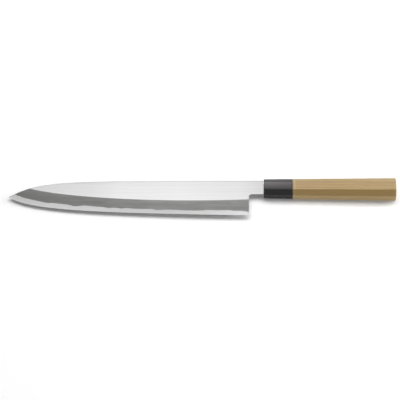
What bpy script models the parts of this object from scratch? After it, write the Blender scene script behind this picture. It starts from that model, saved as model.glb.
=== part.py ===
"""Sujihiki knife: a three-layer slicing blade on a hidden tang, in an octagonal handle with a horn ferrule.

The knife is modelled in its own axes: X runs from the ferrule's front face back to the butt and, negative,
forward to the tip; Y runs from the cutting edge up to the spine; Z is square to the blade's left face.
It then lies on its right side as it would on a table, on its tip and the ferrule's front edge.
"""

from math import atan2, cos, exp, pi, radians, sin, tan

import bmesh
import bpy
import numpy as np
from mathutils import Vector
from mathutils.geometry import interpolate_bezier

MM = 0.001

# Blade profile
BLADE_LENGTH = 270 * MM  # heel to tip
HEEL_HEIGHT = 41.9 * MM  # spine to cutting edge above the heel
SPINE_RISE = 9.4 * MM  # spine over the handle's axis at the heel
SPINE_SLOPE = radians(0.08)  # the spine drops towards the tip
POINT_LENGTH = 185.5 * MM  # the stretch over which the spine curves down to the tip
TIP_DROP = 10.3 * MM  # tip under the handle's axis
POINT_SPINE_REACH = 142.5 * MM  # how far the spine keeps its line into the point
TIP_SPINE_REACH = 34.6 * MM  # how far the spine follows its angle back from the tip
TIP_SPINE_ANGLE = radians(28.2)
EDGE_REACH = 193.4 * MM  # how far the edge keeps its line forward of the heel
EDGE_SLOPE = radians(0.8)
TIP_EDGE_REACH = 26.7 * MM  # how far the edge follows its angle back from the tip
TIP_EDGE_ANGLE = radians(32.8)

# Blade section
HEEL_THICKNESS = 3.1 * MM  # at the spine
POINT_THICKNESS = 1.8 * MM  # what the flats would reach at the tip
FLAT_TAPER = 0.013  # how much each flat closes in for each unit towards the edge
EDGE_THICKNESS = 0.2 * MM
HEEL_BEVEL_WIDTH = 19.14 * MM
BEVEL_REACH = 97.3 * MM  # how far the shinogi line keeps its first direction from the heel
BEVEL_SWELL = 4.45 * MM  # how far it dips over that stretch
BEVEL_POINT_REACH = 57 * MM  # the same at the point, measured back from the tip
BEVEL_POINT_DROP = 0.8 * MM
BEVEL_END = 18.4 * MM  # from the tip to where the shinogi line, run on past the spine, ends its curve
BEVEL_END_RISE = 11.9 * MM  # and how far that end is over the tip

# Lamination
HEEL_CORE_SHOW = 5.06 * MM  # width of core steel that the bevel lays bare at the heel
POINT_CORE_SHOW = 6.79 * MM  # and at the tip
CORE_GROWTH = 2.3  # it grows with this power of the way to the tip
# The hammered weld line's dips, where less core shows, and its rises as dips below nothing, in millimetres:
# place forward of the heel, depth, reach towards the heel and reach towards the tip.
WELD_DIPS = (
    (1.3, 1.0, 5.0, 3.5),
    (21.5, -0.55, 2.8, 8.6),
    (35.2, 0.2, 3.0, 4.6),
    (47.7, -0.65, 16.0, 2.9),
    (63.0, 0.6, 16.0, 1.8),
    (67.4, 0.65, 2.6, 15.0),
    (104.0, 1.05, 10.5, 2.5),
    (109.7, -0.3, 3.3, 1.8),
    (126.5, 0.35, 16.0, 7.0),
    (142.2, 0.8, 2.5, 5.2),
    (156.6, 0.95, 3.8, 5.1),
    (184.8, -0.4, 8.2, 2.2),
    (194.8, 1.3, 5.0, 5.8),
    (226.0, 0.8, 3.8, 8.8),
)
WELD_GAP = 0.02 * MM  # between core and cladding, which are forge-welded

# Neck and tang
NECK_LENGTH = 16.2 * MM  # heel to shoulder
NECK_HEIGHT = 16.6 * MM
HEEL_FILLET = 3 * MM
SHOULDER_GAP = 0.3 * MM  # shoulder to ferrule
TANG_LENGTH = 104 * MM
TANG_HEIGHT = 9.6 * MM
TANG_END_HEIGHT = 5 * MM
TANG_END_THICKNESS = 2 * MM

# Handle and ferrule, octagonal: height spine to edge, width across the blade's faces
HANDLE_LENGTH = 148 * MM  # ferrule and wood together
FERRULE_LENGTH = 32.3 * MM
FRONT_HEIGHT = 19.5 * MM
FRONT_WIDTH = 18.2 * MM
FRONT_FACE_FLAT = 9 * MM  # the flats beside the blade's faces
FRONT_SPINE_FLAT = 9.1 * MM  # the flats on the spine and edge sides
BUTT_HEIGHT = 22.8 * MM
BUTT_DROOP = 0.7 * MM  # the handle grows a little more towards the edge side than towards the spine
BUTT_WIDTH = 21.7 * MM
BUTT_FACE_FLAT = 10.3 * MM
BUTT_SPINE_FLAT = 11.1 * MM
FRONT_CHAMFER = 0.6 * MM
BUTT_CHAMFER = 1.2 * MM
GLUE_LINE = 0.1 * MM  # ferrule to wood
FERRULE_WALL = 5 * MM  # in front of the tenon
TENON_RADIUS = 7.2 * MM
TENON_FIT = 0.15 * MM
TENON_END_GAP = 0.3 * MM
SLOT_FIT = 0.3 * MM  # round the tang
SLOT_END = 3 * MM  # past the tang's end
SEAL_WALL = 0.6 * MM
SEAL_FIT = 0.2 * MM  # on both sides of the seal's wall
SEAL_RECESS = 0.4 * MM

# Mesh
CURVE_STEPS = 24  # along each stretch of the outline
LINE_STEPS = 200  # along a curve whose height is looked up
STATION_STEP = 3 * MM  # between sections along the blade
SECTION_MARGIN = 4 * MM  # how far sections run past the outline that trims them
ROUND_SIDES = 48
QUARTER_CIRCLE = 0.5523  # a Bezier handle for each unit of radius

HEEL_X = -(SHOULDER_GAP + NECK_LENGTH)
TIP_X = HEEL_X - BLADE_LENGTH
HEEL_SPINE = SPINE_RISE
HEEL_EDGE = SPINE_RISE - HEEL_HEIGHT
TIP = (TIP_X, -TIP_DROP)
SPINE_TOP = SPINE_RISE + NECK_LENGTH * tan(SPINE_SLOPE)
NECK_BOTTOM = SPINE_TOP - NECK_HEIGHT


def clear_scene():
    for obj in list(bpy.data.objects):
        bpy.data.objects.remove(obj, do_unlink=True)


def collection(name):
    made = bpy.data.collections.new(name)
    bpy.context.scene.collection.children.link(made)
    return made


def material(name, color, roughness, metallic=0.0):
    made = bpy.data.materials.new(name)
    made.use_nodes = True
    shader = made.node_tree.nodes["Principled BSDF"]
    shader.inputs["Base Color"].default_value = (*color, 1)
    shader.inputs["Roughness"].default_value = roughness
    shader.inputs["Metallic"].default_value = metallic
    made.diffuse_color = (*color, 1)
    return made


def add(mesh, name, holder, finish=None):
    obj = bpy.data.objects.new(name, mesh)
    holder.objects.link(obj)
    if finish:
        mesh.materials.append(finish)
    return obj


def loft(name, sections):
    """A closed mesh through sections along X. Each is (x, [(y, z), ...]), all with as many points, and goes
    round from +Y towards -Z when seen from +X."""
    points = [(x, y, z) for x, outline in sections for y, z in outline]
    count = len(sections[0][1])
    shape = bmesh.new()
    verts = [shape.verts.new(point) for point in points]
    rings = [verts[i : i + count] for i in range(0, len(verts), count)]
    for ring, following in zip(rings, rings[1:]):
        for i in range(count):
            j = (i + 1) % count
            shape.faces.new((ring[i], ring[j], following[j], following[i]))
    shape.faces.new(rings[0][::-1])
    shape.faces.new(rings[-1])
    bmesh.ops.recalc_face_normals(shape, faces=shape.faces)
    mesh = bpy.data.meshes.new(name)
    shape.to_mesh(mesh)
    shape.free()
    return mesh


def cylinder(name, radius, start, end):
    """A closed cylinder along X from start to end."""
    shape = bmesh.new()
    bmesh.ops.create_cone(
        shape, cap_ends=True, segments=ROUND_SIDES, radius1=radius, radius2=radius, depth=end - start
    )
    bmesh.ops.rotate(shape, verts=shape.verts, matrix=rotation_to_x())
    bmesh.ops.translate(shape, verts=shape.verts, vec=((start + end) / 2, 0, 0))
    mesh = bpy.data.meshes.new(name)
    shape.to_mesh(mesh)
    shape.free()
    return mesh


def rotation_to_x():
    return Vector((0, 0, 1)).rotation_difference(Vector((1, 0, 0))).to_matrix()


def combine(obj, other, operation):
    step = obj.modifiers.new(f"{operation.lower()} {other.name}", "BOOLEAN")
    step.operation = operation
    step.object = other
    step.solver = "EXACT"


def helper(obj):
    obj.hide_render = True
    obj.display_type = "WIRE"


def spine_knots():
    """The spine's curve in the point, from where it leaves its straight line to the tip."""
    start_x = TIP_X + POINT_LENGTH
    start = (start_x, HEEL_SPINE + (start_x - HEEL_X) * tan(SPINE_SLOPE))
    return (
        start,
        (start[0] - POINT_SPINE_REACH, start[1] - POINT_SPINE_REACH * tan(SPINE_SLOPE)),
        (TIP[0] + TIP_SPINE_REACH * cos(TIP_SPINE_ANGLE), TIP[1] + TIP_SPINE_REACH * sin(TIP_SPINE_ANGLE)),
        TIP,
    )


def edge_knots():
    """The cutting edge's curve, from the heel to the tip."""
    return (
        (HEEL_X, HEEL_EDGE),
        (HEEL_X - EDGE_REACH, HEEL_EDGE + EDGE_REACH * tan(EDGE_SLOPE)),
        (TIP[0] + TIP_EDGE_REACH * cos(TIP_EDGE_ANGLE), TIP[1] - TIP_EDGE_REACH * sin(TIP_EDGE_ANGLE)),
        TIP,
    )


def shinogi_knots():
    """The line between flat and bevel, from the heel to a point above the spine near the tip."""
    start = (HEEL_X, HEEL_EDGE + HEEL_BEVEL_WIDTH)
    return (
        start,
        (start[0] - BEVEL_REACH, start[1] - BEVEL_SWELL),
        (TIP[0] + BEVEL_POINT_REACH, TIP[1] - BEVEL_POINT_DROP),
        (TIP[0] + BEVEL_END, TIP[1] + BEVEL_END_RISE),
    )


def height_at(knots, x):
    """The height of a curve at x. Past its ends it runs on straight."""
    steps = [Vector((*knot, 0)) for knot in knots]
    line = np.array(interpolate_bezier(*steps, LINE_STEPS))[::-1, :2]
    slopes = np.diff(line[:, 1]) / np.diff(line[:, 0])
    y = np.interp(x, line[:, 0], line[:, 1])
    y += np.minimum(x - line[0, 0], 0) * slopes[0]
    return float(y)


def half_thickness_of_flat(x, y):
    """Each flat is one plane: it closes in towards the tip and towards the edge."""
    towards_tip = (HEEL_X - x) / BLADE_LENGTH
    at_spine = HEEL_THICKNESS + (POINT_THICKNESS - HEEL_THICKNESS) * towards_tip
    return at_spine / 2 - (HEEL_SPINE - y) * FLAT_TAPER


def core_show(x):
    """The width of core steel that shows at x, wavy because the weld is hammered: each dip is a bell curve."""
    forward = max(HEEL_X - x, 0)
    width = HEEL_CORE_SHOW + (POINT_CORE_SHOW - HEEL_CORE_SHOW) * (forward / BLADE_LENGTH) ** CORE_GROWTH
    for place, depth, heelward, tipward in WELD_DIPS:
        past = forward / MM - place
        reach = tipward if past > 0 else heelward
        width -= depth * MM * exp(-((past / reach) ** 2))
    return width


def section(x):
    """The places and half thicknesses that the layers share at x: edge, shinogi, bevel slope, weld, taper.

    Behind the heel they stay as they are there, and the tang thins towards its end.
    """
    at = min(x, HEEL_X)
    edge = height_at(edge_knots(), max(at, TIP_X))
    shinogi = height_at(shinogi_knots(), at)
    slope = (half_thickness_of_flat(at, shinogi) - EDGE_THICKNESS / 2) / (shinogi - edge)
    weld = EDGE_THICKNESS / 2 + slope * core_show(at)
    shoulder = half_thickness_of_flat(0, 0)
    taper = 1 + (TANG_END_THICKNESS / 2 / shoulder - 1) * max(x, 0) / TANG_LENGTH
    return edge, shinogi, slope, weld, taper


def stations():
    first = TIP_X - SECTION_MARGIN
    blade = np.linspace(first, HEEL_X, round((HEEL_X - first) / STATION_STEP))
    return [float(x) for x in blade] + [0.0, TANG_LENGTH + SECTION_MARGIN]


def core_sections():
    """The core fills the blade between its welds and narrows along the bevels to the cutting edge."""
    top = HEEL_SPINE + SECTION_MARGIN
    made = []
    for x in stations():
        edge, _, slope, weld, taper = section(x)
        weld_line = edge + (weld - EDGE_THICKNESS / 2) / slope
        right = [
            (top, weld * taper),
            (weld_line, weld * taper),
            (edge, EDGE_THICKNESS / 2 * taper),
            (edge - SECTION_MARGIN, EDGE_THICKNESS / 2 * taper),
        ]
        left = [(y, -z) for y, z in reversed(right)]
        made.append((x, right + left))
    return made


def cladding_sections(side):
    """A cladding lies on the core from the spine down to the weld line, where the bevel cuts it to nothing."""
    top = HEEL_SPINE + SECTION_MARGIN
    made = []
    for x in stations():
        edge, shinogi, slope, weld, taper = section(x)
        inner = weld + WELD_GAP
        weld_line = edge + (inner - EDGE_THICKNESS / 2) / slope
        along = min(x, 0)
        outline = [
            (top, inner * taper),
            (top, half_thickness_of_flat(along, top) * taper),
            (shinogi, half_thickness_of_flat(along, shinogi) * taper),
            (weld_line, inner * taper),
        ]
        made.append((x, [(y, side * z) for y, z in outline]))
    return made


def knot(place, before, after, free=False):
    return place, before, after, "FREE" if free else "VECTOR"


def blade_outline(holder):
    """The outline of blade, neck and tang as one flat slab that trims the three layers."""
    spine = spine_knots()
    edge = edge_knots()
    shoulder_x = -SHOULDER_GAP
    arc = HEEL_FILLET * QUARTER_CIRCLE
    fillet_top = (HEEL_X + HEEL_FILLET, NECK_BOTTOM)
    fillet_bottom = (HEEL_X, NECK_BOTTOM - HEEL_FILLET)
    corners = [
        knot((shoulder_x, SPINE_TOP), None, None),
        knot((shoulder_x, TANG_HEIGHT / 2), None, None),
        knot((TANG_LENGTH, TANG_END_HEIGHT / 2), None, None),
        knot((TANG_LENGTH, -TANG_END_HEIGHT / 2), None, None),
        knot((shoulder_x, -TANG_HEIGHT / 2), None, None),
        knot((shoulder_x, NECK_BOTTOM), None, None),
        knot(fillet_top, fillet_top, (fillet_top[0] - arc, NECK_BOTTOM), free=True),
        knot(fillet_bottom, (HEEL_X, fillet_bottom[1] + arc), fillet_bottom, free=True),
        knot(edge[0], edge[0], edge[1], free=True),
        knot(TIP, edge[2], spine[2], free=True),
        knot(spine[0], spine[1], spine[0], free=True),
    ]
    curve = bpy.data.curves.new("blade outline", "CURVE")
    curve.dimensions = "2D"
    curve.fill_mode = "BOTH"
    curve.extrude = HEEL_THICKNESS * 2
    curve.resolution_u = CURVE_STEPS
    line = curve.splines.new("BEZIER")
    line.bezier_points.add(len(corners) - 1)
    line.use_cyclic_u = True
    for point, (place, before, after, kind) in zip(line.bezier_points, corners):
        point.co = (*place, 0)
        point.handle_left_type = kind
        point.handle_right_type = kind
        if kind == "FREE":
            point.handle_left = (*before, 0)
            point.handle_right = (*after, 0)
    drawn = bpy.data.objects.new("blade outline curve", curve)
    holder.objects.link(drawn)
    mesh = bpy.data.meshes.new_from_object(drawn.evaluated_get(bpy.context.evaluated_depsgraph_get()))
    bpy.data.objects.remove(drawn)
    shape = bmesh.new()
    shape.from_mesh(mesh)
    bmesh.ops.remove_doubles(shape, verts=shape.verts, dist=1e-6)
    bmesh.ops.recalc_face_normals(shape, faces=shape.faces)
    shape.to_mesh(mesh)
    shape.free()
    return add(mesh, "blade_outline", holder)


def grip_section(x, inset=0.0):
    """The handle's octagon at x, which grows evenly from the ferrule's front to the butt while its middle
    droops. It has flats on the spine and edge sides and on the two faces. An inset moves all sides in alike."""
    along = x / HANDLE_LENGTH
    half_y = (FRONT_HEIGHT + (BUTT_HEIGHT - FRONT_HEIGHT) * along) / 2
    half_z = (FRONT_WIDTH + (BUTT_WIDTH - FRONT_WIDTH) * along) / 2
    flat_y = (FRONT_FACE_FLAT + (BUTT_FACE_FLAT - FRONT_FACE_FLAT) * along) / 2
    flat_z = (FRONT_SPINE_FLAT + (BUTT_SPINE_FLAT - FRONT_SPINE_FLAT) * along) / 2
    shortened = inset * tan(pi / 8)
    quarter = [(half_y - inset, flat_z - shortened), (flat_y - shortened, half_z - inset)]
    upper = quarter + [(-y, z) for y, z in reversed(quarter)]
    whole = upper + [(-y, -z) for y, z in upper]
    return x, [(y - BUTT_DROOP * along, z) for y, z in whole]


def slot(name, start, end, room, holder):
    """A tapering slot round the tang, room wider than it on every side."""
    half = half_thickness_of_flat(0, SPINE_TOP)
    end_half = half * TANG_END_THICKNESS / 2 / half_thickness_of_flat(0, 0)
    made = []
    for x in (start, end):
        along = (x + SHOULDER_GAP) / (TANG_LENGTH + SHOULDER_GAP)
        y = (TANG_HEIGHT + (TANG_END_HEIGHT - TANG_HEIGHT) * along) / 2 + room
        z = half + (end_half - half) * x / TANG_LENGTH + room
        made.append((x, [(y, z), (-y, z), (-y, -z), (y, -z)]))
    return add(loft(name, made), name, holder)


def blade(parts, cutters):
    core_finish = material("core steel", (0.62, 0.63, 0.63), 0.28, 1.0)
    clad_finish = material("soft iron cladding", (0.45, 0.45, 0.45), 0.42, 1.0)
    outline = blade_outline(cutters)
    helper(outline)
    layers = (
        ("core_steel", core_sections(), core_finish),
        ("left_cladding", cladding_sections(1), clad_finish),
        ("right_cladding", cladding_sections(-1), clad_finish),
    )
    for name, sections, finish in layers:
        layer = add(loft(name, sections), name, parts, finish)
        combine(layer, outline, "INTERSECT")


def ferrule(parts, cutters):
    """Buffalo horn: an octagon with the tang's slot through its front wall and the tenon's bore behind."""
    sections = [
        grip_section(0.0, inset=FRONT_CHAMFER),
        grip_section(FRONT_CHAMFER),
        grip_section(FERRULE_LENGTH),
    ]
    collar = add(loft("ferrule", sections), "ferrule", parts, material("buffalo horn", (0.02, 0.02, 0.02), 0.3))
    past = FERRULE_LENGTH + SECTION_MARGIN
    bore = add(cylinder("tenon_bore", TENON_RADIUS + TENON_FIT, FERRULE_WALL, past), "tenon_bore", cutters)
    mouth = slot("ferrule_slot", -SECTION_MARGIN, FERRULE_WALL + SECTION_MARGIN, seal_room(), cutters)
    for cutter in (bore, mouth):
        helper(cutter)
        combine(collar, cutter, "DIFFERENCE")


def seal_room():
    return SEAL_FIT + SEAL_WALL + SEAL_FIT


def mouth_seal(parts, cutters):
    """The resin that fills the ferrule's slot round the tang."""
    start, end = SEAL_RECESS, FERRULE_WALL
    seal = slot("mouth_seal", start, end, seal_room() - SEAL_FIT, parts)
    seal.data.materials.append(material("resin", (0.03, 0.028, 0.025), 0.35))
    passage = slot("seal_slot", start - SECTION_MARGIN, end + SECTION_MARGIN, SEAL_FIT, cutters)
    helper(passage)
    combine(seal, passage, "DIFFERENCE")


def handle(parts, cutters):
    """Magnolia wood: the octagon behind the ferrule, the tenon turned on its front, and the tang's slot."""
    sections = [
        grip_section(FERRULE_LENGTH + GLUE_LINE),
        grip_section(HANDLE_LENGTH - BUTT_CHAMFER),
        grip_section(HANDLE_LENGTH, inset=BUTT_CHAMFER),
    ]
    grip = add(loft("handle", sections), "handle", parts, material("magnolia wood", (0.48, 0.33, 0.18), 0.6))
    tenon_start = FERRULE_WALL + TENON_END_GAP
    tenon_end = FERRULE_LENGTH + SECTION_MARGIN
    tenon = add(cylinder("tenon", TENON_RADIUS, tenon_start, tenon_end), "tenon", cutters)
    tang_slot = slot("tang_slot", tenon_start - SECTION_MARGIN, TANG_LENGTH + SLOT_END, SLOT_FIT, cutters)
    helper(tenon)
    helper(tang_slot)
    combine(grip, tenon, "UNION")
    combine(grip, tang_slot, "DIFFERENCE")


def lay_down(objects, holder):
    """Turns the knife until its tip and the ferrule's front edge lie on one level, and puts that level at
    Z = 0, with the middle of its length and of its height over the origin."""
    ferrule_half = grip_section(FRONT_CHAMFER)[1][1][1]
    lean = atan2(ferrule_half - EDGE_THICKNESS / 2, FRONT_CHAMFER - TIP_X)
    butt_half = grip_section(HANDLE_LENGTH)[1][1][1] - BUTT_CHAMFER
    front = TIP_X * cos(lean) - EDGE_THICKNESS / 2 * sin(lean)
    back = HANDLE_LENGTH * cos(lean) + butt_half * sin(lean)
    top = max(BUTT_HEIGHT / 2 - BUTT_DROOP, SPINE_TOP)
    rest = bpy.data.objects.new("knife_at_rest", None)
    holder.objects.link(rest)
    rest.rotation_euler = (0, -lean, 0)
    rest.location = (
        -(front + back) / 2,
        -(top + HEEL_EDGE) / 2,
        ferrule_half * cos(lean) - FRONT_CHAMFER * sin(lean),
    )
    for obj in objects:
        obj.parent = rest


def main():
    clear_scene()
    parts = collection("sujihiki knife")
    cutters = collection("cutters")
    blade(parts, cutters)
    ferrule(parts, cutters)
    mouth_seal(parts, cutters)
    handle(parts, cutters)
    lay_down([*parts.objects, *cutters.objects], cutters)
    bpy.context.view_layer.update()


main()
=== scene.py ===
from math import atan2, cos, pi, radians, sin, tan

import bpy
import numpy as np
from mathutils import Matrix


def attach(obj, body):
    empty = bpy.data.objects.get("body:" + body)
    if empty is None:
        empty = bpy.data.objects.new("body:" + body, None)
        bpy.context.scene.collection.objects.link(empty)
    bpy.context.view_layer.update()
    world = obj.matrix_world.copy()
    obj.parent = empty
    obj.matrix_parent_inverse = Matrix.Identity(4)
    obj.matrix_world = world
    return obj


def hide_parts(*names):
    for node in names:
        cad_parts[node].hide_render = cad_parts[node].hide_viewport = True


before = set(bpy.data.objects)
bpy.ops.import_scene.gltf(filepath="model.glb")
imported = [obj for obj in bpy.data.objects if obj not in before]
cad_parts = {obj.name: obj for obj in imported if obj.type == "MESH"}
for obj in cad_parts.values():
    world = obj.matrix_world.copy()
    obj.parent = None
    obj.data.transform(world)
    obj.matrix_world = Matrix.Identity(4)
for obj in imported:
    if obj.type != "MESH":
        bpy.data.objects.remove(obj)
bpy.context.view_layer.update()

# Core steel. The middle layer of the blade: hard carbon steel, forge-welded between two layers of soft
# iron. It shows as the bright band along the cutting edge and as the middle line of the spine, and it runs
# on back through the neck into the tang.

# Lengths are in millimetres, in the knife's own axes: X from the ferrule's front face to the butt, Y from
# the edge up to the spine, Z square to the left face.
BLADE_LENGTH = 270.0
HEEL_HEIGHT = 41.9
SPINE_RISE = 9.4
SPINE_SLOPE = tan(radians(0.08))
HEEL_X = -16.5
TIP_DROP = 10.3  # how far the tip lies below the handle's middle line
TIP = np.array([HEEL_X - BLADE_LENGTH, -TIP_DROP])
EDGE_THICKNESS = 0.2
HEEL_THICKNESS = 3.1
POINT_THICKNESS = 1.8
FLAT_TAPER = 0.013  # how fast half the thickness closes in down the flat
HEEL_EDGE = SPINE_RISE - HEEL_HEIGHT
POINT_LENGTH = 185.5  # where the spine begins to bend down, measured back from the tip
POINT_REACH = 142.5  # how far it still keeps to its line
TIP_SPINE_ANGLE, TIP_SPINE_REACH = 28.2, 34.6  # how steeply the spine meets the tip, and from how far
EDGE_SLOPE = tan(radians(0.8))
EDGE_REACH = 193.4  # how far the edge keeps to its slope, from the heel
TIP_EDGE_ANGLE, TIP_EDGE_REACH = -32.8, 26.7
HEEL_BEVEL = 19.14  # height of the bevel at the heel
BEVEL_REACH, BEVEL_SWELL = 97.3, 4.45  # where the shinogi line first heads: how far on, and how far down
SHINOGI_AIM = (57.0, -0.8)  # from the tip, where the shinogi line heads before it turns up
SHINOGI_END = (18.4, 11.9)  # from the tip, where it runs out past the spine
SHOULDER_X = -0.3  # where the neck steps down to the tang
SPINE_TOP = SPINE_RISE + (SHOULDER_X - HEEL_X) * SPINE_SLOPE
NECK_HEIGHT = 16.6
NECK_BOTTOM = SPINE_TOP - NECK_HEIGHT
HEEL_FILLET = 3.0
TANG_LENGTH = 104.0
TANG_HEIGHT = 9.6
TANG_END_HEIGHT = 5.0
TANG_END_THICKNESS = 2.0
ROUNDING = 0.2  # radius on the spine, the neck and the heel
ROUND_STEPS = np.array([0, 0.08, 0.22, 0.45, 0.7, 1])  # where rows lie across it
SHARPENING = 2.3  # width of the last bevel at the very edge
SHARP_THICKNESS = 0.03
WELD_GAP = 0.02
HEEL_CORE, POINT_CORE = 5.06, 6.79  # width of bare core at the heel and at the tip
CORE_GROWTH = 2.3  # the power of the length that it grows with
# Each hammered dip of the weld line, and each rise as a dip below nothing: its place forward of the heel,
# its depth, and how far it reaches towards the heel and towards the tip.
WELD_DIPS = [
    (1.3, 1.0, 5.0, 3.5),
    (21.5, -0.55, 2.8, 8.6),
    (35.2, 0.2, 3.0, 4.6),
    (47.7, -0.65, 16.0, 2.9),
    (63.0, 0.6, 16.0, 1.8),
    (67.4, 0.65, 2.6, 15.0),
    (104.0, 1.05, 10.5, 2.5),
    (109.7, -0.3, 3.3, 1.8),
    (126.5, 0.35, 16.0, 7.0),
    (142.2, 0.8, 2.5, 5.2),
    (156.6, 0.95, 3.8, 5.1),
    (184.8, -0.4, 8.2, 2.2),
    (194.8, 1.3, 5.0, 5.8),
    (226.0, 0.8, 3.8, 8.8),
]


def curve(knots):
    """A cubic Bezier curve through four knots, as 400 points in the order of X."""
    knots = np.array(knots)
    t = np.linspace(1, 0, 400)[:, None]
    weights = np.concatenate([(1 - t) ** 3, 3 * t * (1 - t) ** 2, 3 * t**2 * (1 - t), t**3], axis=1)
    return weights @ knots


def from_tip(angle, reach):
    """The point at that distance from the tip, at an angle above the knife's length."""
    return TIP + reach * np.array([cos(radians(angle)), sin(radians(angle))])


POINT_X = TIP[0] + POINT_LENGTH
POINT_Y = SPINE_RISE + (POINT_X - HEEL_X) * SPINE_SLOPE
SPINE_BEND = (POINT_X - POINT_REACH, POINT_Y - POINT_REACH * SPINE_SLOPE)
SPINE_CURVE = curve([(POINT_X, POINT_Y), SPINE_BEND, from_tip(TIP_SPINE_ANGLE, TIP_SPINE_REACH), TIP])
EDGE_BEND = (HEEL_X - EDGE_REACH, HEEL_EDGE + EDGE_REACH * EDGE_SLOPE)
EDGE_CURVE = curve([(HEEL_X, HEEL_EDGE), EDGE_BEND, from_tip(TIP_EDGE_ANGLE, TIP_EDGE_REACH), TIP])
BEVEL_TOP = HEEL_EDGE + HEEL_BEVEL
SHINOGI_BEND = (HEEL_X - BEVEL_REACH, BEVEL_TOP - BEVEL_SWELL)
SHINOGI_CURVE = curve([(HEEL_X, BEVEL_TOP), SHINOGI_BEND, TIP + SHINOGI_AIM, TIP + SHINOGI_END])


def spine(x):
    """The spine: a straight line that bends down to the tip along a curve."""
    straight = SPINE_RISE + (x - HEEL_X) * SPINE_SLOPE
    return np.where(x < POINT_X, np.interp(x, *SPINE_CURVE.T), straight)


def edge(x):
    """The cutting edge: one curve from the heel to the tip."""
    return np.interp(x, *EDGE_CURVE.T)


def shinogi(x):
    """The line between flat and bevel. It runs on straight past the spine."""
    start, following = SHINOGI_CURVE[:2]
    run = np.minimum(x - start[0], 0) * (following[1] - start[1]) / (following[0] - start[0])
    return np.interp(x, *SHINOGI_CURVE.T) + run


def core_width(x):
    """The width of core steel laid bare by the bevel: it grows from the heel to the tip, less the hammered
    dips, which are bell curves of their own reach on each side."""
    forward = np.maximum(HEEL_X - x, 0)
    width = HEEL_CORE + (POINT_CORE - HEEL_CORE) * (forward / BLADE_LENGTH) ** CORE_GROWTH
    for place, depth, heelward, tipward in WELD_DIPS:
        reach = np.where(forward < place, heelward, tipward)
        width = width - depth * np.exp(-(((forward - place) / reach) ** 2))
    return width


def flat_height(x, y):
    """Half the blade's thickness on its flat: one plane, which closes in towards the tip and the edge."""
    at_spine = HEEL_THICKNESS + (POINT_THICKNESS - HEEL_THICKNESS) * (HEEL_X - x) / BLADE_LENGTH
    return at_spine / 2 - (SPINE_RISE - y) * FLAT_TAPER


def bevel_slope(x):
    """How fast half the thickness grows up the bevel, from the edge to the shinogi line."""
    low = edge(x)
    top = shinogi(x)
    return (flat_height(x, top) - EDGE_THICKNESS / 2) / (top - low)


def thinning(x):
    """How much thinner the tang is at x than the neck: evenly down to its end."""
    end = TANG_END_THICKNESS / 2 / flat_height(0.0, 0.0)
    return 1 + (end - 1) * np.maximum(x, 0) / TANG_LENGTH


def core_half(x):
    """Half the core's thickness: what the bevel has where it meets the weld line."""
    at = np.minimum(x, HEEL_X)
    return (EDGE_THICKNESS / 2 + bevel_slope(at) * core_width(at)) * thinning(x)


def rounding(x, y):
    """How far a surface falls away beside the blunt outline: a quarter circle of the distance to the spine,
    to the neck's underside, to the fillet's arc or to the heel, whichever is the least."""
    centre_x = HEEL_X + HEEL_FILLET
    centre_y = NECK_BOTTOM - HEEL_FILLET
    arc = np.hypot(x - centre_x, y - centre_y) - HEEL_FILLET
    neck = np.where(x < centre_x, arc, y - NECK_BOTTOM)
    heel = np.where(y < centre_y, HEEL_X - x, neck)
    inside = np.clip(np.minimum(spine(x) - y, heel), 0, ROUNDING)
    inside = np.where(x > SHOULDER_X, ROUNDING, inside)
    return ROUNDING - np.sqrt(ROUNDING**2 - (ROUNDING - inside) ** 2)


def surface(x, y):
    """Half the blade's thickness: the lower of the flat's plane and the bevel's, and lower still along the
    last sharpening at the edge, less the rounding of the outline. The tang thins towards its end."""
    at = np.minimum(x, HEEL_X)
    above = y - edge(at)
    slope = bevel_slope(at)
    bevel = EDGE_THICKNESS / 2 + slope * above
    shoulder = EDGE_THICKNESS / 2 + slope * SHARPENING
    last = SHARP_THICKNESS / 2 + (shoulder - SHARP_THICKNESS / 2) * above / SHARPENING
    whole = np.minimum(np.minimum(flat_height(np.minimum(x, 0), y), bevel), last)
    return np.maximum(whole - rounding(x, y), SHARP_THICKNESS / 2) * thinning(x)


NEAR_TIP = [0, 0.15, 0.35, 0.6, 0.9, 1.3, 1.7, 2.2, 2.7, 3.3, 4.0, 4.7, 5.4]  # close stations, from the tip
STATION_STEP = 0.8
FILLET_STATIONS = 8
NECK_STATIONS = [5, 8, 12]  # back from the heel
TANG_STATIONS = 14
FLAT_ROWS, BEVEL_ROWS, CORE_ROWS, SHARP_ROWS = 14, 12, 3, 2


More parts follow.
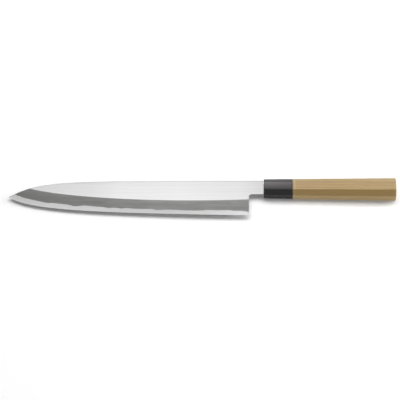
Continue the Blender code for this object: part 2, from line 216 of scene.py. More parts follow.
def blade_grid():
    """Stations along X by rows from spine to edge: places (x, y), the cells that hold steel, and the rows
    of the shinogi line, the weld line and the last sharpening. Rows close to the spine keep their distance
    from it, and the next ones share out flat, bevel and core. Behind the heel only the rows over the neck's
    underside go on, and past the shoulder only those within the tang."""
    close = ROUNDING * ROUND_STEPS
    fillet_bottom = NECK_BOTTOM - HEEL_FILLET
    deep = spine(HEEL_X) - shinogi(HEEL_X) - ROUNDING
    neck = (spine(HEEL_X) - fillet_bottom - ROUNDING) / deep
    neck_depth = SPINE_TOP - NECK_BOTTOM - ROUNDING
    tang = [(SPINE_TOP - side * TANG_HEIGHT / 2 - ROUNDING) / neck_depth * neck for side in (1, -1)]
    beside = neck - close[1:] / deep
    shares = np.unique(np.concatenate([np.linspace(0, 1, FLAT_ROWS + 1)[1:], tang, [neck], beside]))
    neck_row, tang_top, tang_bottom = (len(close) + int(np.argmin(abs(shares - s))) for s in (neck, *tang))

    near_tip = TIP[0] + np.array(NEAR_TIP)
    body = np.arange(near_tip[-1] + STATION_STEP, HEEL_X - STATION_STEP, STATION_STEP)
    heel = HEEL_X - close[::-1]
    bend = HEEL_X + HEEL_FILLET * (1 - np.cos(np.linspace(0, pi / 2, FILLET_STATIONS + 1)[1:]))
    rest = [*(HEEL_X + np.array(NECK_STATIONS)), SHOULDER_X]
    tang_x = np.linspace(0, TANG_LENGTH, TANG_STATIONS)
    x = np.concatenate([near_tip, body, heel, bend, rest, [SHOULDER_X], tang_x])
    heel_station = len(near_tip) + len(body) + len(heel) - 1
    shoulder_station = heel_station + len(bend) + len(rest)

    top, low = spine(x), edge(x)
    weld = low + core_width(x)
    below = np.minimum(top - ROUNDING, np.maximum(shinogi(x), low))
    flat = top[:, None] - ROUNDING - (top - ROUNDING - below)[:, None] * shares
    held = top[:, None] - close
    bevel_end = np.minimum(weld, below)
    bevel = below[:, None] + (bevel_end - below)[:, None] * np.linspace(0, 1, BEVEL_ROWS + 1)[1:]
    last = np.minimum(low + SHARPENING, bevel_end)
    core = bevel_end[:, None] + (last - bevel_end)[:, None] * np.linspace(0, 1, CORE_ROWS + 1)[1:]
    sharp = last[:, None] + (low - last)[:, None] * np.linspace(0, 1, SHARP_ROWS + 1)[1:]
    y = np.maximum(np.concatenate([held, flat, bevel, core, sharp], axis=1), low[:, None])

    back = x >= HEEL_X
    dip = HEEL_FILLET - (x - HEEL_X)
    arc = np.sqrt(np.clip(HEEL_FILLET**2 - dip**2, 0, None))
    bottom = np.where(dip > 0, fillet_bottom + arc, NECK_BOTTOM)
    down = top - ROUNDING - bottom
    count = len(close) + len(shares)
    y[back, len(close) : count] = (top - ROUNDING)[back, None] - down[back, None] * shares / neck
    after = np.arange(len(x)) > shoulder_station
    along = (x[after] - SHOULDER_X) / (TANG_LENGTH - SHOULDER_X)
    half = (TANG_HEIGHT + (TANG_END_HEIGHT - TANG_HEIGHT) * along) / 2
    within = (shares - tang[0]) / (tang[1] - tang[0])
    y[after, len(close) : count] = half[:, None] * (1 - 2 * within)

    stations, rows = np.indices((len(x) - 1, y.shape[1] - 1))
    steel = (stations < heel_station) | ((rows < neck_row) & (stations < shoulder_station))
    steel |= (stations > shoulder_station) & (rows >= tang_top) & (rows < tang_bottom)
    shinogi_row = count - 1
    weld_row = shinogi_row + BEVEL_ROWS
    places = np.stack([np.broadcast_to(x[:, None], y.shape), y], axis=-1)
    return places, steel, (shinogi_row, weld_row, weld_row + CORE_ROWS)


# The knife lies on its right side on the tip and the ferrule's front edge, as the CAD model does.
FRONT_WIDTH, BUTT_WIDTH = 18.2, 21.7
FRONT_HEIGHT, BUTT_HEIGHT = 19.5, 22.8
BUTT_DROOP = 0.7
HANDLE_LENGTH = 148.0
FRONT_CHAMFER, BUTT_CHAMFER = 0.6, 1.2
FRONT_HALF = (FRONT_WIDTH + (BUTT_WIDTH - FRONT_WIDTH) * FRONT_CHAMFER / HANDLE_LENGTH) / 2
LEAN = atan2(FRONT_HALF - EDGE_THICKNESS / 2, FRONT_CHAMFER - TIP[0])
# The origin in the axes of the knife once it leans: on the table, under the middle of the knife's box.
MIDDLE = (
    (TIP[0] + HANDLE_LENGTH) * cos(LEAN) / 2
    + ((BUTT_WIDTH - EDGE_THICKNESS) / 2 - BUTT_CHAMFER) * sin(LEAN) / 2,
    (BUTT_HEIGHT / 2 - BUTT_DROOP + HEEL_EDGE) / 2,
    FRONT_CHAMFER * sin(LEAN) - FRONT_HALF * cos(LEAN),
)


def laid(points):
    """Points of the knife's own axes in millimetres, turned by the lean about Y and moved onto the table,
    in metres."""
    x, y, z = np.moveaxis(np.asarray(points, float), -1, 0)
    turned = (x * cos(LEAN) - z * sin(LEAN), y, x * sin(LEAN) + z * cos(LEAN))
    return (np.stack(turned, axis=-1) - MIDDLE) / 1000


SHARP_BEND = radians(28)  # edges that bend more are shaded sharp


def shell(name, points, faces, materials, finish=None, ridges=None, across=None):
    """A closed mesh from loose triangles. Points that share a place become one, triangles left without area
    or lying back to back go, and the shell is turned outwards. It is shaded smooth, apart from edges that
    bend over SHARP_BEND and those along a ridge, which is a number that the ridge's points share."""
    finish = np.zeros(len(faces), int) if finish is None else finish
    _, first, index = np.unique(np.round(points, 4), axis=0, return_index=True, return_inverse=True)
    faces = index.reshape(-1)[faces]
    whole = (faces[:, 0] != faces[:, 1]) & (faces[:, 1] != faces[:, 2]) & (faces[:, 2] != faces[:, 0])
    faces, finish = faces[whole], finish[whole]
    _, group, count = np.unique(np.sort(faces, axis=1), axis=0, return_inverse=True, return_counts=True)
    single = count[group.reshape(-1)] == 1
    faces, finish = faces[single], finish[single]
    used, faces = np.unique(faces, return_inverse=True)
    faces = faces.reshape(-1, 3)
    kept = first[used]
    places = laid(points[kept])
    a, b, c = places[faces[:, 0]], places[faces[:, 1]], places[faces[:, 2]]
    if np.einsum("ij,ij->i", a, np.cross(b, c)).sum() < 0:
        faces = faces[:, ::-1]
    mesh = bpy.data.meshes.new(name)
    mesh.from_pydata(places.tolist(), [], faces.tolist(), shade_flat=False)
    for material in materials:
        mesh.materials.append(material)
    mesh.polygons.foreach_set("material_index", finish.astype(np.int32))
    mesh.set_sharp_from_angle(angle=SHARP_BEND)
    if ridges is not None:
        ends = np.empty(len(mesh.edges) * 2, np.int32)
        mesh.edges.foreach_get("vertices", ends)
        marks = ridges[kept][ends.reshape(-1, 2)]
        sharp = np.empty(len(mesh.edges), bool)
        layer = mesh.attributes["sharp_edge"].data
        layer.foreach_get("value", sharp)
        layer.foreach_set("value", sharp | ((marks[:, 0] > 0) & (marks[:, 0] == marks[:, 1])))
    if across is not None:
        layer = mesh.attributes.new("across", "FLOAT", "POINT").data
        layer.foreach_set("value", across[kept].astype(np.float32))
    made = bpy.data.objects.new(name, mesh)
    bpy.context.scene.collection.objects.link(made)
    return made


def sheet_faces(cells, columns):
    """Two triangles for each cell of a grid that is in use. Points are numbered along its columns."""
    station, row = np.nonzero(cells)
    a = station * columns + row
    b, c, d = a + columns, a + columns + 1, a + 1
    return np.concatenate([np.stack([a, b, c], axis=1), np.stack([a, c, d], axis=1)])


def between(places, cells, near, far):
    """The closed body between two heights over one grid: the near sheet, the far one turned round, and a
    strip round their shared outline. Returns points, triangles, and how many belong to the near sheet."""
    flat = places.reshape(-1, 2)
    points = np.concatenate([np.column_stack([flat, z.reshape(-1)]) for z in (near, far)])
    sheet = sheet_faces(cells, places.shape[1])
    _, index = np.unique(np.round(flat, 4), axis=0, return_inverse=True)
    same = index.reshape(-1)[sheet]
    whole = (same != np.roll(same, 1, axis=1)).all(axis=1)
    sheet, same = sheet[whole], same[whole]
    sides, same = (np.concatenate([f[:, [0, 1]], f[:, [1, 2]], f[:, [2, 0]]]) for f in (sheet, same))
    key = same[:, 0] * len(flat) + same[:, 1]
    back = same[:, 1] * len(flat) + same[:, 0]
    rim = sides[~np.isin(key, back)]
    a, b = rim.T
    over = len(flat)
    strip = np.concatenate([np.stack([b, a, a + over], axis=1), np.stack([b, a + over, b + over], axis=1)])
    return points, np.concatenate([sheet, sheet[:, ::-1] + over, strip]), len(sheet)


def linear(colour):
    """An sRGB hex colour as linear red, green, blue and alpha."""
    parts = np.array([int(colour[i : i + 2], 16) for i in (0, 2, 4)]) / 255
    return (*np.where(parts > 0.04045, ((parts + 0.055) / 1.055) ** 2.4, parts / 12.92), 1.0)


def node(tree, kind, values=(), links=(), **settings):
    """Adds a node. Settings are its own properties, values its inputs' constants, and links its inputs'
    sources, each by the input's name or number."""
    made = tree.nodes.new(kind)
    for name, value in settings.items():
        setattr(made, name, value)
    for name, value in dict(values).items():
        made.inputs[name].default_value = value
    for name, source in dict(links).items():
        tree.links.new(source, made.inputs[name])
    return made


def finish_named(name, **constants):
    """A new material: its node tree and its shader, with the constants set on the shader's own sockets."""
    material = bpy.data.materials.new(name)
    material.use_nodes = True
    tree = material.node_tree
    shader = tree.nodes["Principled BSDF"]
    for socket, value in constants.items():
        shader.inputs[socket.replace("_", " ")].default_value = value
    return material, tree, shader


def ramp(tree, source, *stops):
    """A colour ramp over stops of (place, hex colour)."""
    made = node(tree, "ShaderNodeValToRGB", links={"Fac": source})
    elements = made.color_ramp.elements
    while len(elements) < len(stops):
        elements.new(0.5)
    for element, (place, colour) in zip(elements, stops):
        element.position = place
        element.color = linear(colour)
    return made.outputs["Color"]


def lengthwise(tree, length, width, detail=3.0, shift=0.0):
    """Noise drawn out along the knife: streaks of that length and width in millimetres, from 0 to 1. The
    mapping turns the pattern by the knife's lean so that it runs with the blade."""
    place = node(tree, "ShaderNodeTexCoord").outputs["Object"]
    along_knife = {"Rotation": (0, LEAN, 0), "Location": (shift, shift, 0)}
    turned = node(tree, "ShaderNodeMapping", along_knife, {"Vector": place}).outputs["Vector"]
    stretch = {"Scale": (1000 / length, 1000 / width, 1000 / width)}
    stretched = node(tree, "ShaderNodeMapping", stretch, {"Vector": turned}).outputs["Vector"]
    grain = {"Scale": 1.0, "Detail": detail, "Roughness": 0.6}
    return node(tree, "ShaderNodeTexNoise", grain, {"Vector": stretched}).outputs["Fac"]


def ground_along(tree, shader):
    """Turns a metal's stretched highlights across the knife, as lines ground along it do."""
    upward = node(tree, "ShaderNodeCombineXYZ", {"Y": 1.0}).outputs["Vector"]
    tree.links.new(upward, shader.inputs["Tangent"])


def by_length(tree, *stops):
    """A colour ramp along the knife, over stops of (world X in millimetres, hex colour)."""
    start, end = stops[0][0], stops[-1][0]
    place = node(tree, "ShaderNodeTexCoord").outputs["Object"]
    x = node(tree, "ShaderNodeSeparateXYZ", links={"Vector": place}).outputs["X"]
    ends = {"From Min": start / 1000, "From Max": end / 1000}
    share = node(tree, "ShaderNodeMapRange", ends, {"Value": x}).outputs["Result"]
    return ramp(tree, share, *[((at - start) / (end - start), colour) for at, colour in stops])


def mixed(tree, share, one, other, blend="MIX"):
    """Two colours blended. The share and the colours are constants or sockets."""
    made = node(tree, "ShaderNodeMix", data_type="RGBA", blend_type=blend)
    for socket, source in zip((0, 6, 7), (share, one, other)):
        if isinstance(source, (float, tuple)):
            made.inputs[socket].default_value = source
        else:
            tree.links.new(source, made.inputs[socket])
    return made.outputs[2]


def core_steel_finish():
    # High-carbon steel, ground and honed lengthwise on fine stones: the brightest and smoothest part of the
    # bevel, with thin lines along the edge. The stone's lines are 0.02 mm wide, so they are drawn coarser.
    material, tree, shader = finish_named("honed carbon steel", Metallic=1.0, Anisotropic=0.6)
    ground_along(tree, shader)
    streaks = lengthwise(tree, 40, 0.5)
    tone = ramp(tree, streaks, (0.3, "7b7b7b"), (0.5, "808080"), (0.7, "858585"))
    # The base colour darkens from the heel towards the tip: a painted falloff of the light's reflection
    # along the blade.
    forward = ((-198, "e3e3e3"), (-170, "eaeaea"), (-125, "efefef"), (-80, "e9e9e9"))
    backward = ((-36, "e6e6e6"), (9, "f2f2f2"), (43, "ffffff"))
    painted_reflection_falloff = by_length(tree, *forward, *backward)
    tree.links.new(mixed(tree, 1.0, tone, painted_reflection_falloff, "MULTIPLY"), shader.inputs["Base Color"])
    rough = node(tree, "ShaderNodeMapRange", {"To Min": 0.3, "To Max": 0.4}, {"Value": streaks})
    tree.links.new(rough.outputs["Result"], shader.inputs["Roughness"])
    lines = lengthwise(tree, 30, 0.3, detail=4.0, shift=0.02)
    bump = node(tree, "ShaderNodeBump", {"Strength": 0.25, "Distance": 0.00004}, {"Height": lines})
    tree.links.new(bump.outputs["Normal"], shader.inputs["Normal"])
    return material


PLACES, STEEL, (SHINOGI_ROW, WELD_ROW, SHARP_ROW) = blade_grid()
X, Y = PLACES[..., 0], PLACES[..., 1]
OUTER = surface(X, Y)
ROWS = np.broadcast_to(np.arange(PLACES.shape[1]), X.shape)
core = np.minimum(core_half(X), OUTER)
points, faces, _ = between(PLACES, STEEL, core, -core)
ridges = np.tile(np.where(np.isin(ROWS, (WELD_ROW, SHARP_ROW)), ROWS, 0).reshape(-1), 2)
core_piece = shell("core_steel_layer", points, faces, [core_steel_finish()], ridges=ridges)
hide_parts("core_steel")
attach(core_piece, "root")

# The two claddings. Soft iron forge-welded to both sides of the core. Each flat is ground lengthwise to a
# satin face, and each bevel is rubbed with loose stone powder, which leaves the iron hazy and grey down to
# the wavy line of the weld, where it thins to nothing on the core.


def satin_flat_finish():
    # Soft iron ground on a lengthwise belt: pale and silky, with faint straight lines. The real lines are
    # under 0.1 mm apart, so the ones drawn are coarser.
    material, tree, shader = finish_named("satin ground iron", Metallic=1.0, Anisotropic=0.7)
    ground_along(tree, shader)
    broad = lengthwise(tree, 160, 2.6, detail=2.0)
    fine = lengthwise(tree, 70, 0.45, shift=0.03)
    tone = ramp(tree, broad, (0.3, "969696"), (0.55, "999999"), (0.75, "9b9b9b"))
    lines = ramp(tree, fine, (0.3, "f5f5f5"), (0.7, "ffffff"))
    # The flat's colour rises a little from the spine to the shinogi line: a painted sheen.
    across = node(tree, "ShaderNodeAttribute", attribute_name="across").outputs["Fac"]
    depth = node(tree, "ShaderNodeMapRange", {"From Min": -1.0, "From Max": 0.0}, {"Value": across})
    painted_sheen_across = ramp(tree, depth.outputs["Result"], (0.0, "f8f8f8"), (0.8, "ffffff"))
    lines = mixed(tree, 1.0, lines, painted_sheen_across, "MULTIPLY")
    # The base colour is darker towards the tip, and again at the neck, than in the heel half: a painted
    # falloff of the light's reflection along the blade.
    forward = ((-200, "e6e6e6"), (-159, "ececec"), (-125, "f1f1f1"), (-92, "fcfcfc"))
    backward = ((-25, "ffffff"), (43, "f8f8f8"), (61, "eeeeee"))
    shade = mixed(tree, 1.0, tone, by_length(tree, *forward, *backward), "MULTIPLY")
    tree.links.new(mixed(tree, 1.0, shade, lines, "MULTIPLY"), shader.inputs["Base Color"])
    rough = node(tree, "ShaderNodeMapRange", {"To Min": 0.3, "To Max": 0.42}, {"Value": fine})
    tree.links.new(rough.outputs["Result"], shader.inputs["Roughness"])
    bump = node(tree, "ShaderNodeBump", {"Strength": 0.2, "Distance": 0.00004}, {"Height": fine})
    tree.links.new(bump.outputs["Normal"], shader.inputs["Normal"])
    return material


def hazy_bevel_finish():
    # Soft iron rubbed with stone powder: matte, dark grey and faintly streaked along the bevel, a little
    # brighter where the stone has cut closer, under the shinogi line and above the weld.
    material, tree, shader = finish_named("hazy stone-rubbed iron", Metallic=1.0)
    cloud = lengthwise(tree, 22, 3.0, detail=2.0, shift=0.01)
    streaks = lengthwise(tree, 60, 0.7, shift=0.05)
    tone = ramp(tree, cloud, (0.3, "686867"), (0.5, "6d6d6c"), (0.7, "737371"))
    lines = ramp(tree, streaks, (0.3, "eeeeee"), (0.7, "ffffff"))
    across = node(tree, "ShaderNodeAttribute", attribute_name="across").outputs["Fac"]
    stops = ((0.0, "ffffff"), (0.3, "f0f0f0"), (0.55, "e9e9e9"), (0.8, "ebebeb"), (1.0, "f2f2f2"))
    haze = ramp(tree, across, *stops)
    # The base colour darkens from the heel towards the tip: a painted falloff of the light's reflection
    # along the bevel.
    forward = ((-215, "d8d8d8"), (-198, "dcdcdc"), (-170, "e3e3e3"), (-125, "e8e8e8"))
    backward = ((-80, "f3f3f3"), (-36, "ffffff"), (43, "fdfdfd"))
    shade = mixed(tree, 1.0, mixed(tree, 1.0, tone, lines, "MULTIPLY"), haze, "MULTIPLY")
    shade = mixed(tree, 1.0, shade, by_length(tree, *forward, *backward), "MULTIPLY")
    tree.links.new(shade, shader.inputs["Base Color"])
    rough = node(tree, "ShaderNodeMapRange", {"To Min": 0.5, "To Max": 0.62}, {"Value": streaks})
    tree.links.new(rough.outputs["Result"], shader.inputs["Roughness"])
    bump = node(tree, "ShaderNodeBump", {"Strength": 0.2, "Distance": 0.00005}, {"Height": streaks})
    tree.links.new(bump.outputs["Normal"], shader.inputs["Normal"])
    return material


iron_finishes = [satin_flat_finish(), hazy_bevel_finish()]
# Each cladding lies a weld's gap off the core, and where the bevel cuts deeper it has no thickness left.
inner = core_half(X) + WELD_GAP * thinning(X)
outer = np.maximum(OUTER, inner)
iron = STEEL & (ROWS[:-1, :-1] < WELD_ROW)
# The rows' place across a cladding, which its finishes read: -1 at the spine, 0 at the shinogi line, and 1
# at the weld line.
bevel_share = np.minimum((ROWS - SHINOGI_ROW) / (WELD_ROW - SHINOGI_ROW), 1)
across = np.tile(np.where(ROWS < SHINOGI_ROW, ROWS / SHINOGI_ROW - 1, bevel_share).reshape(-1), 2)
ridges = np.tile(np.where(ROWS == SHINOGI_ROW, 1, 0).reshape(-1), 2)
for side, name in ((1, "left_iron_cladding"), (-1, "right_iron_cladding")):
    points, faces, near = between(PLACES, iron, side * outer, side * inner)
    finish = np.zeros(len(faces), int)
    finish[:near] = (faces[:near] % PLACES.shape[1]).min(axis=1) >= SHINOGI_ROW
    piece = shell(name, points, faces, iron_finishes, finish, ridges, across)
    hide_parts(name.replace("_iron", ""))
    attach(piece, "root")

# Ferrule. A collar of black buffalo horn, sawn and filed to the handle's octagon and polished. The tang
# passes through a slot in its front wall, and its back is bored for the handle's tenon, which is glued in.

FERRULE_LENGTH = 32.3
FERRULE_WALL = 5.0
GLUE_LINE = 0.1
TENON_RADIUS = 7.2
TENON_FIT = 0.15
TENON_END_GAP = 0.3
SLOT_FIT = 0.3
SLOT_END = 3.0
SEAL_WALL = 0.6
SEAL_FIT = 0.2
SEAL_RECESS = 0.4
FRONT_SIDE, BUTT_SIDE = 9.1, 11.1  # widths of the narrow sides, which face the spine and the edge
FRONT_FACE, BUTT_FACE = 9.0, 10.3  # widths of the left and right faces
FACETS_FRONT = np.array([[FRONT_HEIGHT, FRONT_SIDE], [FRONT_FACE, FRONT_WIDTH]]) / 2
FACETS_BUTT = np.array([[BUTT_HEIGHT, BUTT_SIDE], [BUTT_FACE, BUTT_WIDTH]]) / 2
INSET_SLANT = np.array([[1, tan(pi / 8)], [tan(pi / 8), 1]])  # how each corner moves as the sides move in
BACK_EDGE = 0.12  # radius on the ferrule's back edge
FRONT_HOLD, EDGE_HOLD = 0.3, 0.4  # how far behind or before an end's edge a ring holds the sides' shading
ARRIS = 0.35  # radius on the octagon's long edges
ARC_POINTS = 5
CORNER_POINTS = ARC_POINTS + 2
BESIDE = 0.25  # how far from each arc the flat's own shading starts
RING = 8 * CORNER_POINTS


def octagon(x, inset=0.0):
    """The handle's octagon at x as a ring of points. It grows evenly from front to butt while its middle
    droops, an inset moves all its sides in alike, and each corner is a small arc between two points that
    lie on the flats."""
    along = x / HANDLE_LENGTH
    quarter = FACETS_FRONT + (FACETS_BUTT - FACETS_FRONT) * along - inset * INSET_SLANT
    corner = np.concatenate([quarter, quarter[::-1] * (-1, 1), -quarter, quarter[::-1] * (1, -1)])
    before = corner - np.roll(corner, 1, axis=0)
    before /= np.linalg.norm(before, axis=1)[:, None]
    after = np.roll(before, -1, axis=0)
    turn = np.arccos(np.einsum("ij,ij->i", before, after))
    reach = (ARRIS * np.tan(turn / 2))[:, None]
    inward = np.stack([-before[:, 1], before[:, 0]], axis=1)
    angle = turn[:, None, None] * np.linspace(0, 1, ARC_POINTS)[:, None]
    arc = ARRIS * (inward[:, None] * (1 - np.cos(angle)) + before[:, None] * np.sin(angle))
    arc += (corner - before * reach)[:, None]
    ends = [corner - before * (reach + BESIDE), corner + after * (reach + BESIDE)]
    ring = np.concatenate([ends[0][:, None], arc, ends[1][:, None]], axis=1).reshape(-1, 2)
    return np.column_stack([np.full(RING, x), ring - (BUTT_DROOP * along, 0)])


def circle(x, radius):
    """A circle round the handle's middle line at x, with its points beside the octagon's."""
    angle = (np.arange(RING) - CORNER_POINTS // 2) * 2 * pi / RING + pi / 8
    return np.column_stack([np.full(RING, x), radius * np.cos(angle), radius * np.sin(angle)])


def oblong(x, room):
    """A rectangle round the tang at x, room wider than it on every side, as a ring whose four corners each
    take two points, beside the octagon's slanting sides."""
    half_z = flat_height(0.0, SPINE_TOP) * thinning(x) + room
    along = (x - SHOULDER_X) / (TANG_LENGTH - SHOULDER_X)
    half_y = (TANG_HEIGHT + (TANG_END_HEIGHT - TANG_HEIGHT) * along) / 2 + room
    corner = np.array([[1, 1], [-1, 1], [-1, -1], [1, -1]]) * (half_y, half_z)
    side = np.linspace(0, 1, RING // 4)[:, None]
    ring = corner[:, None] * (1 - side) + np.roll(corner, -1, axis=0)[:, None] * side
    return np.column_stack([np.full(RING, x), np.roll(ring.reshape(-1, 2), CORNER_POINTS, axis=0)])


def centre(x):
    """A ring drawn together to one point, which closes an end."""
    return np.column_stack([np.full(RING, x), np.zeros((RING, 2))])


def turned_body(rings, endless):
    """Points and triangles of a body carried through rings. An endless one joins its last ring to its
    first, and any other begins and ends on one point."""
    points = np.concatenate(rings)
    count = len(rings) if endless else len(rings) - 1
    i, j = np.indices((count, RING))
    a = i * RING + j
    b = i * RING + (j + 1) % RING
    c = (i + 1) % len(rings) * RING + (j + 1) % RING
    d = (i + 1) % len(rings) * RING + j
    quads = np.stack([a, b, c, d], axis=-1).reshape(-1, 4)
    return points, np.concatenate([quads[:, [0, 1, 2]], quads[:, [0, 2, 3]]])


def rounded(start, direction, radius, steps=5):
    """Octagon rings round an end's edge: a quarter circle from its face out to its sides."""
    angle = np.linspace(0, pi / 2, steps)
    rings = [octagon(start + direction * radius * (1 - cos(a)), radius * (1 - sin(a))) for a in angle]
    return rings if direction > 0 else rings[::-1]


def horn_finish(name, gloss):
    # Buffalo horn, filed along its length: near black, faintly streaked with brown and grey fibres. A
    # painted sheen makes the left face greyer towards the spine and dims towards the handle. The faces have
    # a soft gloss, and the narrow sides are dull.
    material, tree, shader = finish_named(name, IOR=1.54, Specular_IOR_Level=gloss)
    fibres = lengthwise(tree, 18, 0.8, detail=4.0)
    dark = ramp(tree, fibres, (0.3, "1f1e1e"), (0.55, "262425"), (0.8, "302e2d"))
    pale = ramp(tree, fibres, (0.3, "6a6465"), (0.55, "706b6c"), (0.8, "777373"))
    # The painted sheen dims towards the back of the ferrule.
    backward = by_length(tree, (70, "ffffff"), (101, "dcdcdc"))
    pale = mixed(tree, 1.0, pale, backward, "MULTIPLY")
    sheen_share = node(tree, "ShaderNodeAttribute", attribute_name="across").outputs["Fac"]
    tree.links.new(mixed(tree, sheen_share, dark, pale), shader.inputs["Base Color"])
    rough = node(tree, "ShaderNodeMapRange", {"To Min": 0.15, "To Max": 0.22}, {"Value": fibres})
    tree.links.new(rough.outputs["Result"], shader.inputs["Roughness"])
    bump = node(tree, "ShaderNodeBump", {"Strength": 0.15, "Distance": 0.00004}, {"Height": fibres})
    tree.links.new(bump.outputs["Normal"], shader.inputs["Normal"])
    return material


SEAL_ROOM = SEAL_FIT + SEAL_WALL + SEAL_FIT
rings = [oblong(FERRULE_WALL, SEAL_ROOM), oblong(0.0, SEAL_ROOM)]
rings += rounded(0.0, 1, FRONT_CHAMFER)
held = (FRONT_CHAMFER + FRONT_HOLD, FERRULE_LENGTH / 2, FERRULE_LENGTH - EDGE_HOLD)
rings += [octagon(x) for x in held]
rings += rounded(FERRULE_LENGTH, -1, BACK_EDGE, 3)
rings += [circle(x, TENON_RADIUS + TENON_FIT) for x in (FERRULE_LENGTH, FERRULE_WALL)]
points, faces = turned_body(rings, endless=True)
# Facets go round from the slanting one beside the spine, over the left face. Each starts at the last point
# of its corner. The painted sheen is strongest where the left face starts, and faint on the facet before
# it.
FACET_STARTS = np.arange(8) * CORNER_POINTS + CORNER_POINTS - 1
SLANT_FACET, LEFT_FACE, EDGE_SIDE, SPINE_SIDE = 0, 1, 3, 7
SLANT_SHEEN = 0.2
horn_sheen = np.zeros(RING)
horn_sheen[FACET_STARTS[SLANT_FACET] : FACET_STARTS[LEFT_FACE]] = SLANT_SHEEN
horn_sheen[FACET_STARTS[LEFT_FACE]] = 1.0
finish = np.isin(np.arange(len(faces)) % RING, FACET_STARTS[[EDGE_SIDE, SPINE_SIDE]])
horn_finishes = [horn_finish("polished buffalo horn", 0.15), horn_finish("dull buffalo horn", 0.06)]
across = np.tile(horn_sheen, len(rings))
ferrule_piece = shell("horn_ferrule", points, faces, horn_finishes, finish.astype(int), across=across)
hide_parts("ferrule")
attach(ferrule_piece, "root")

# Mouth seal. Dark resin run into the ferrule's slot round the tang, where it keeps water out of the handle.
# It sets a little below the horn's front face.


def resin_finish():
    # Set resin: dark and even, with a low gloss and the small unevenness of a liquid that has set.
    material, tree, shader = finish_named("set resin", IOR=1.5)
    place = node(tree, "ShaderNodeTexCoord").outputs["Object"]
    lumps = node(tree, "ShaderNodeTexNoise", {"Scale": 900.0}, {"Vector": place}).outputs["Fac"]
    tree.links.new(ramp(tree, lumps, (0.3, "2a2725"), (0.7, "37332f")), shader.inputs["Base Color"])
    rough = node(tree, "ShaderNodeMapRange", {"To Min": 0.4, "To Max": 0.55}, {"Value": lumps})
    tree.links.new(rough.outputs["Result"], shader.inputs["Roughness"])
    bump = node(tree, "ShaderNodeBump", {"Strength": 0.3, "Distance": 0.0001}, {"Height": lumps})
    tree.links.new(bump.outputs["Normal"], shader.inputs["Normal"])
    return material


rings = [oblong(x, SEAL_FIT) for x in (FERRULE_WALL, SEAL_RECESS)]
rings += [oblong(x, SEAL_ROOM - SEAL_FIT) for x in (SEAL_RECESS, FERRULE_WALL)]
points, faces = turned_body(rings, endless=True)
seal_piece = shell("tang_resin", points, faces, [resin_finish()])
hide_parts("mouth_seal")
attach(seal_piece, "root")

# Handle. One piece of magnolia wood, planed to a tapering octagon, with a turned tenon on its front for the
# ferrule and a burnt-in slot for the tang. It is sanded and left bare.


RING_WIDTH = 2.1  # of the tree's growth rings
HEART = (0, 0.055, 0.075)  # how far the tree's heart lies from the handle, in metres


def wood_finish():
    # Magnolia: pale tan and close-grained, with straight lines along the handle that show as arcs on the
    # butt, fine short pores, and no gloss. The pores are some 0.05 mm wide, so they are drawn wider.
    material, tree, shader = finish_named("sanded bare magnolia", IOR=1.48)
    place = node(tree, "ShaderNodeTexCoord").outputs["Object"]
    about_heart = {"Rotation": (0, LEAN, 0), "Location": HEART}
    heart = node(tree, "ShaderNodeMapping", about_heart, {"Vector": place}).outputs["Vector"]
    # A wave texture repeats every 2 pi / 20 of its coordinate.
    scale = 2 * pi / 20 / RING_WIDTH * 1000
    growth = {"Scale": scale, "Distortion": 2.2, "Detail": 2.0, "Detail Scale": 0.4}
    kind = {"wave_type": "RINGS", "rings_direction": "X"}
    growth_rings = node(tree, "ShaderNodeTexWave", growth, {"Vector": heart}, **kind).outputs["Fac"]
    fibres = lengthwise(tree, 60, 0.9, detail=3.0)
    pores = lengthwise(tree, 5, 0.25, detail=1.0, shift=0.04)
    tone = ramp(tree, growth_rings, (0.0, "b3986d"), (0.6, "b79b71"), (1.0, "ba9f76"))
    streaks = ramp(tree, fibres, (0.3, "f0e9de"), (0.5, "faf7f2"), (0.7, "ffffff"))
    dots = ramp(tree, pores, (0.28, "e2d8c8"), (0.36, "ffffff"))
    shade_of_facet = node(tree, "ShaderNodeAttribute", attribute_name="across").outputs["Fac"]
    # Painted shade and sheen, one tone for each facet.
    painted_facet_light = ramp(tree, shade_of_facet, (0.0, "c9c6ab"), (0.5, "f0f2ee"), (0.75, "f7ffff"), (1.0, "ffffee"))
    shade = mixed(tree, 1.0, mixed(tree, 1.0, tone, streaks, "MULTIPLY"), dots, "MULTIPLY")
    # Beside the ferrule a narrow band is paler: a painted highlight, light caught along the wood's front
    # edge.
    painted_highlight_line = ((102.4, "202020"), (103.2, "a8a8a8"), (103.9, "a8a8a8"), (104.6, "000000"))
    shade = mixed(tree, by_length(tree, *painted_highlight_line), shade, linear("c8ba9f"))
    shade = mixed(tree, 1.0, shade, painted_facet_light, "MULTIPLY")
    # The end grain at the butt is a little darker and greyer.
    end_grain = by_length(tree, (215.2, "ffffff"), (216.0, "e4e9f8"))
    tree.links.new(mixed(tree, 1.0, shade, end_grain, "MULTIPLY"), shader.inputs["Base Color"])
    rough = node(tree, "ShaderNodeMapRange", {"To Min": 0.52, "To Max": 0.66}, {"Value": fibres})
    tree.links.new(rough.outputs["Result"], shader.inputs["Roughness"])
    bump = node(tree, "ShaderNodeBump", {"Strength": 0.3, "Distance": 0.00006}, {"Height": fibres})
    tree.links.new(bump.outputs["Normal"], shader.inputs["Normal"])
    return material


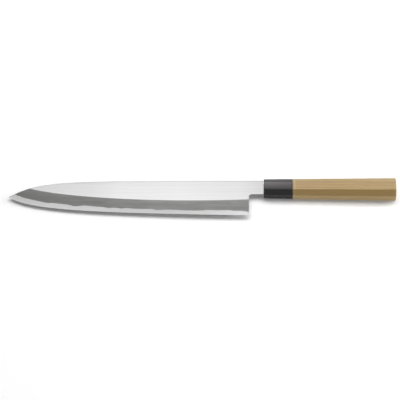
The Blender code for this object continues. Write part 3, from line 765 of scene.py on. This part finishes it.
WOOD_EDGE = 0.3  # radius on the wood's front edge
WOOD_HOLD = 0.8  # as FRONT_HOLD
BUTT_LIP = 0.15  # how far in front of the butt's face its chamfer bends
GRIP_RINGS = 9
WOOD_FRONT = FERRULE_LENGTH + GLUE_LINE
TENON_FRONT = FERRULE_WALL + TENON_END_GAP
slot_end = TANG_LENGTH + SLOT_END
rings = [centre(slot_end), oblong(slot_end, SLOT_FIT), oblong(TENON_FRONT, SLOT_FIT)]
rings += [circle(x, TENON_RADIUS) for x in (TENON_FRONT, WOOD_FRONT)]
rings += rounded(WOOD_FRONT, 1, WOOD_EDGE, 4)
chamfer_start = HANDLE_LENGTH - BUTT_CHAMFER
rings += [octagon(x) for x in np.linspace(WOOD_FRONT + WOOD_HOLD, chamfer_start - EDGE_HOLD, GRIP_RINGS)]
rings += [octagon(chamfer_start), octagon(HANDLE_LENGTH - BUTT_LIP, BUTT_CHAMFER - BUTT_LIP)]
rings += [octagon(HANDLE_LENGTH, BUTT_CHAMFER), centre(HANDLE_LENGTH)]
# Each facet takes its own tone, painted shade and sheen for how the light falls on it: 0 is the darkest, on
# the slanting facets beside the edge, 0.75 a silvery sheen, on those beside the spine, and 1 the palest.
# They go round from the slanting facet beside the spine, over the left face.
FACET_SHADES = np.array([0.75, 0.5, 0.0, 1.0, 0.0, 0.5, 0.75, 1.0])
OUTSIDE = slice(5, -2)  # the rings between the tenon's and the butt's face
point_shades = np.full((len(rings), RING), 0.5)
point_shades[OUTSIDE] = np.linspace(np.roll(FACET_SHADES, 1), FACET_SHADES, CORNER_POINTS, axis=1).reshape(-1)
points, faces = turned_body(rings, endless=False)
handle_piece = shell("wood_grip", points, faces, [wood_finish()], across=point_shades.reshape(-1))
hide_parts("handle")
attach(handle_piece, "root")

# The studio. A white table, a large soft light over its far side, a smaller one on the right and a low one
# in front, in a white room whose own light is dim.

TABLE_LIFT = 0.11  # strength of the glow that lifts the table to white where it is seen
ROOM_LIGHT, ROOM_WHITE = 0.11, 1.0  # strength of the room as a light, and where it is seen


def in_sight(tree, falling, seen):
    """A number with one value where the surface is seen, by the camera and in reflections, and another for
    the light that falls from it on other things."""
    path = node(tree, "ShaderNodeLightPath").outputs
    links = {0: path["Is Camera Ray"], 1: path["Is Glossy Ray"]}
    either = node(tree, "ShaderNodeMath", (), links, operation="MAXIMUM").outputs["Value"]
    links = {0: either, 1: path["Is Transmission Ray"]}
    any_sight = node(tree, "ShaderNodeMath", (), links, operation="MAXIMUM").outputs["Value"]
    chosen = node(tree, "ShaderNodeMapRange", {"To Min": falling, "To Max": seen}, {"Value": any_sight})
    return chosen.outputs["Result"]


def table_finish():
    # Plain matte white. To the camera and in reflections it is lifted to white, and it keeps its shadows.
    material, tree, shader = finish_named("white table", Roughness=0.9)
    shader.inputs["Base Color"].default_value = linear("fafafa")
    tree.links.new(in_sight(tree, 0.0, TABLE_LIFT), shader.inputs["Emission Strength"])
    shader.inputs["Emission Color"].default_value = (1, 1, 1, 1)
    return material


# The knife in the picture rests on its handle's whole face, which holds the tip some 5 mm off the table, so
# the table follows that face, a little over one degree out of level.
TABLE_HALF = 6.0  # metres
FACE_ANGLE = atan2((BUTT_WIDTH - FRONT_WIDTH) / 2, HANDLE_LENGTH)
rise = tan(LEAN - FACE_ANGLE)
contact = laid([FRONT_CHAMFER, 0, -FRONT_HALF])[0]
sides = np.array([(-1, -1), (1, -1), (1, 1), (-1, 1)]) * TABLE_HALF
mesh = bpy.data.meshes.new("table")
mesh.from_pydata([(x, y, (x - contact) * rise) for x, y in sides], [], [(0, 1, 2, 3)])
mesh.materials.append(table_finish())
table = bpy.data.objects.new("table", mesh)
bpy.context.scene.collection.objects.link(table)


def soft_light(name, position, target, size, brightness):
    """A rectangular softbox that faces a target. Its brightness is that of its face, where 1 is white."""
    lamp = bpy.data.lights.new(name, "AREA")
    lamp.shape = "RECTANGLE"
    lamp.size, lamp.size_y = size
    lamp.energy = brightness * pi * size[0] * size[1]
    held = bpy.data.objects.new(name, lamp)
    held.location = position
    held.visible_camera = False
    aim = np.subtract(target, position)
    tilt = atan2(np.hypot(*aim[:2]), -aim[2])
    held.rotation_euler = (tilt, 0, atan2(-aim[0], aim[1]))
    bpy.context.scene.collection.objects.link(held)


soft_light("overhead softbox", (0.4, 0.54, 2.34), target=(0.4, 0, 0), size=(4.0, 1.16), brightness=4.5)
soft_light("right softbox", (1.6, 0.1, 0.55), target=(0, 0, 0), size=(1.2, 0.6), brightness=6.0)
soft_light("low front fill", (-0.6, -1.0, 0.08), target=(0, 0, 0.01), size=(1.2, 0.16), brightness=1.8)

world = bpy.data.worlds.new("room")
world.use_nodes = True
background = world.node_tree.nodes["Background"]
background.inputs["Color"].default_value = (1, 1, 1, 1)
world.node_tree.links.new(in_sight(world.node_tree, ROOM_LIGHT, ROOM_WHITE), background.inputs["Strength"])
bpy.context.scene.world = world

# The camera looks down on the knife from its edge side, 25 degrees off the vertical, through a long lens,
# and is levelled on the knife's length.
LENS = 250.0
SENSOR = 36.0
VIEW_WIDTH = 0.44776  # metres across the picture at the knife
TILT = radians(25)
AIM = (-71.3, -13.77, 0)  # the picture's middle, in the knife's own axes
aim = laid(AIM)
back = np.array([0, -sin(TILT), cos(TILT)])
length = laid([1.0, 0, 0]) - laid([0.0, 0, 0])
right = length - back * (length @ back)
right /= np.linalg.norm(right)
lens = bpy.data.cameras.new("camera")
lens.lens = LENS
lens.sensor_width = SENSOR
lens.clip_end = 50
camera = bpy.data.objects.new("camera", lens)
bpy.context.scene.collection.objects.link(camera)
turn = np.eye(4)
turn[:3, 0], turn[:3, 1], turn[:3, 2] = right, np.cross(back, right), back
turn[:3, 3] = aim + back * VIEW_WIDTH * LENS / SENSOR
camera.matrix_world = Matrix(turn)
bpy.context.scene.camera = camera
bpy.context.scene.view_settings.view_transform = "Standard"
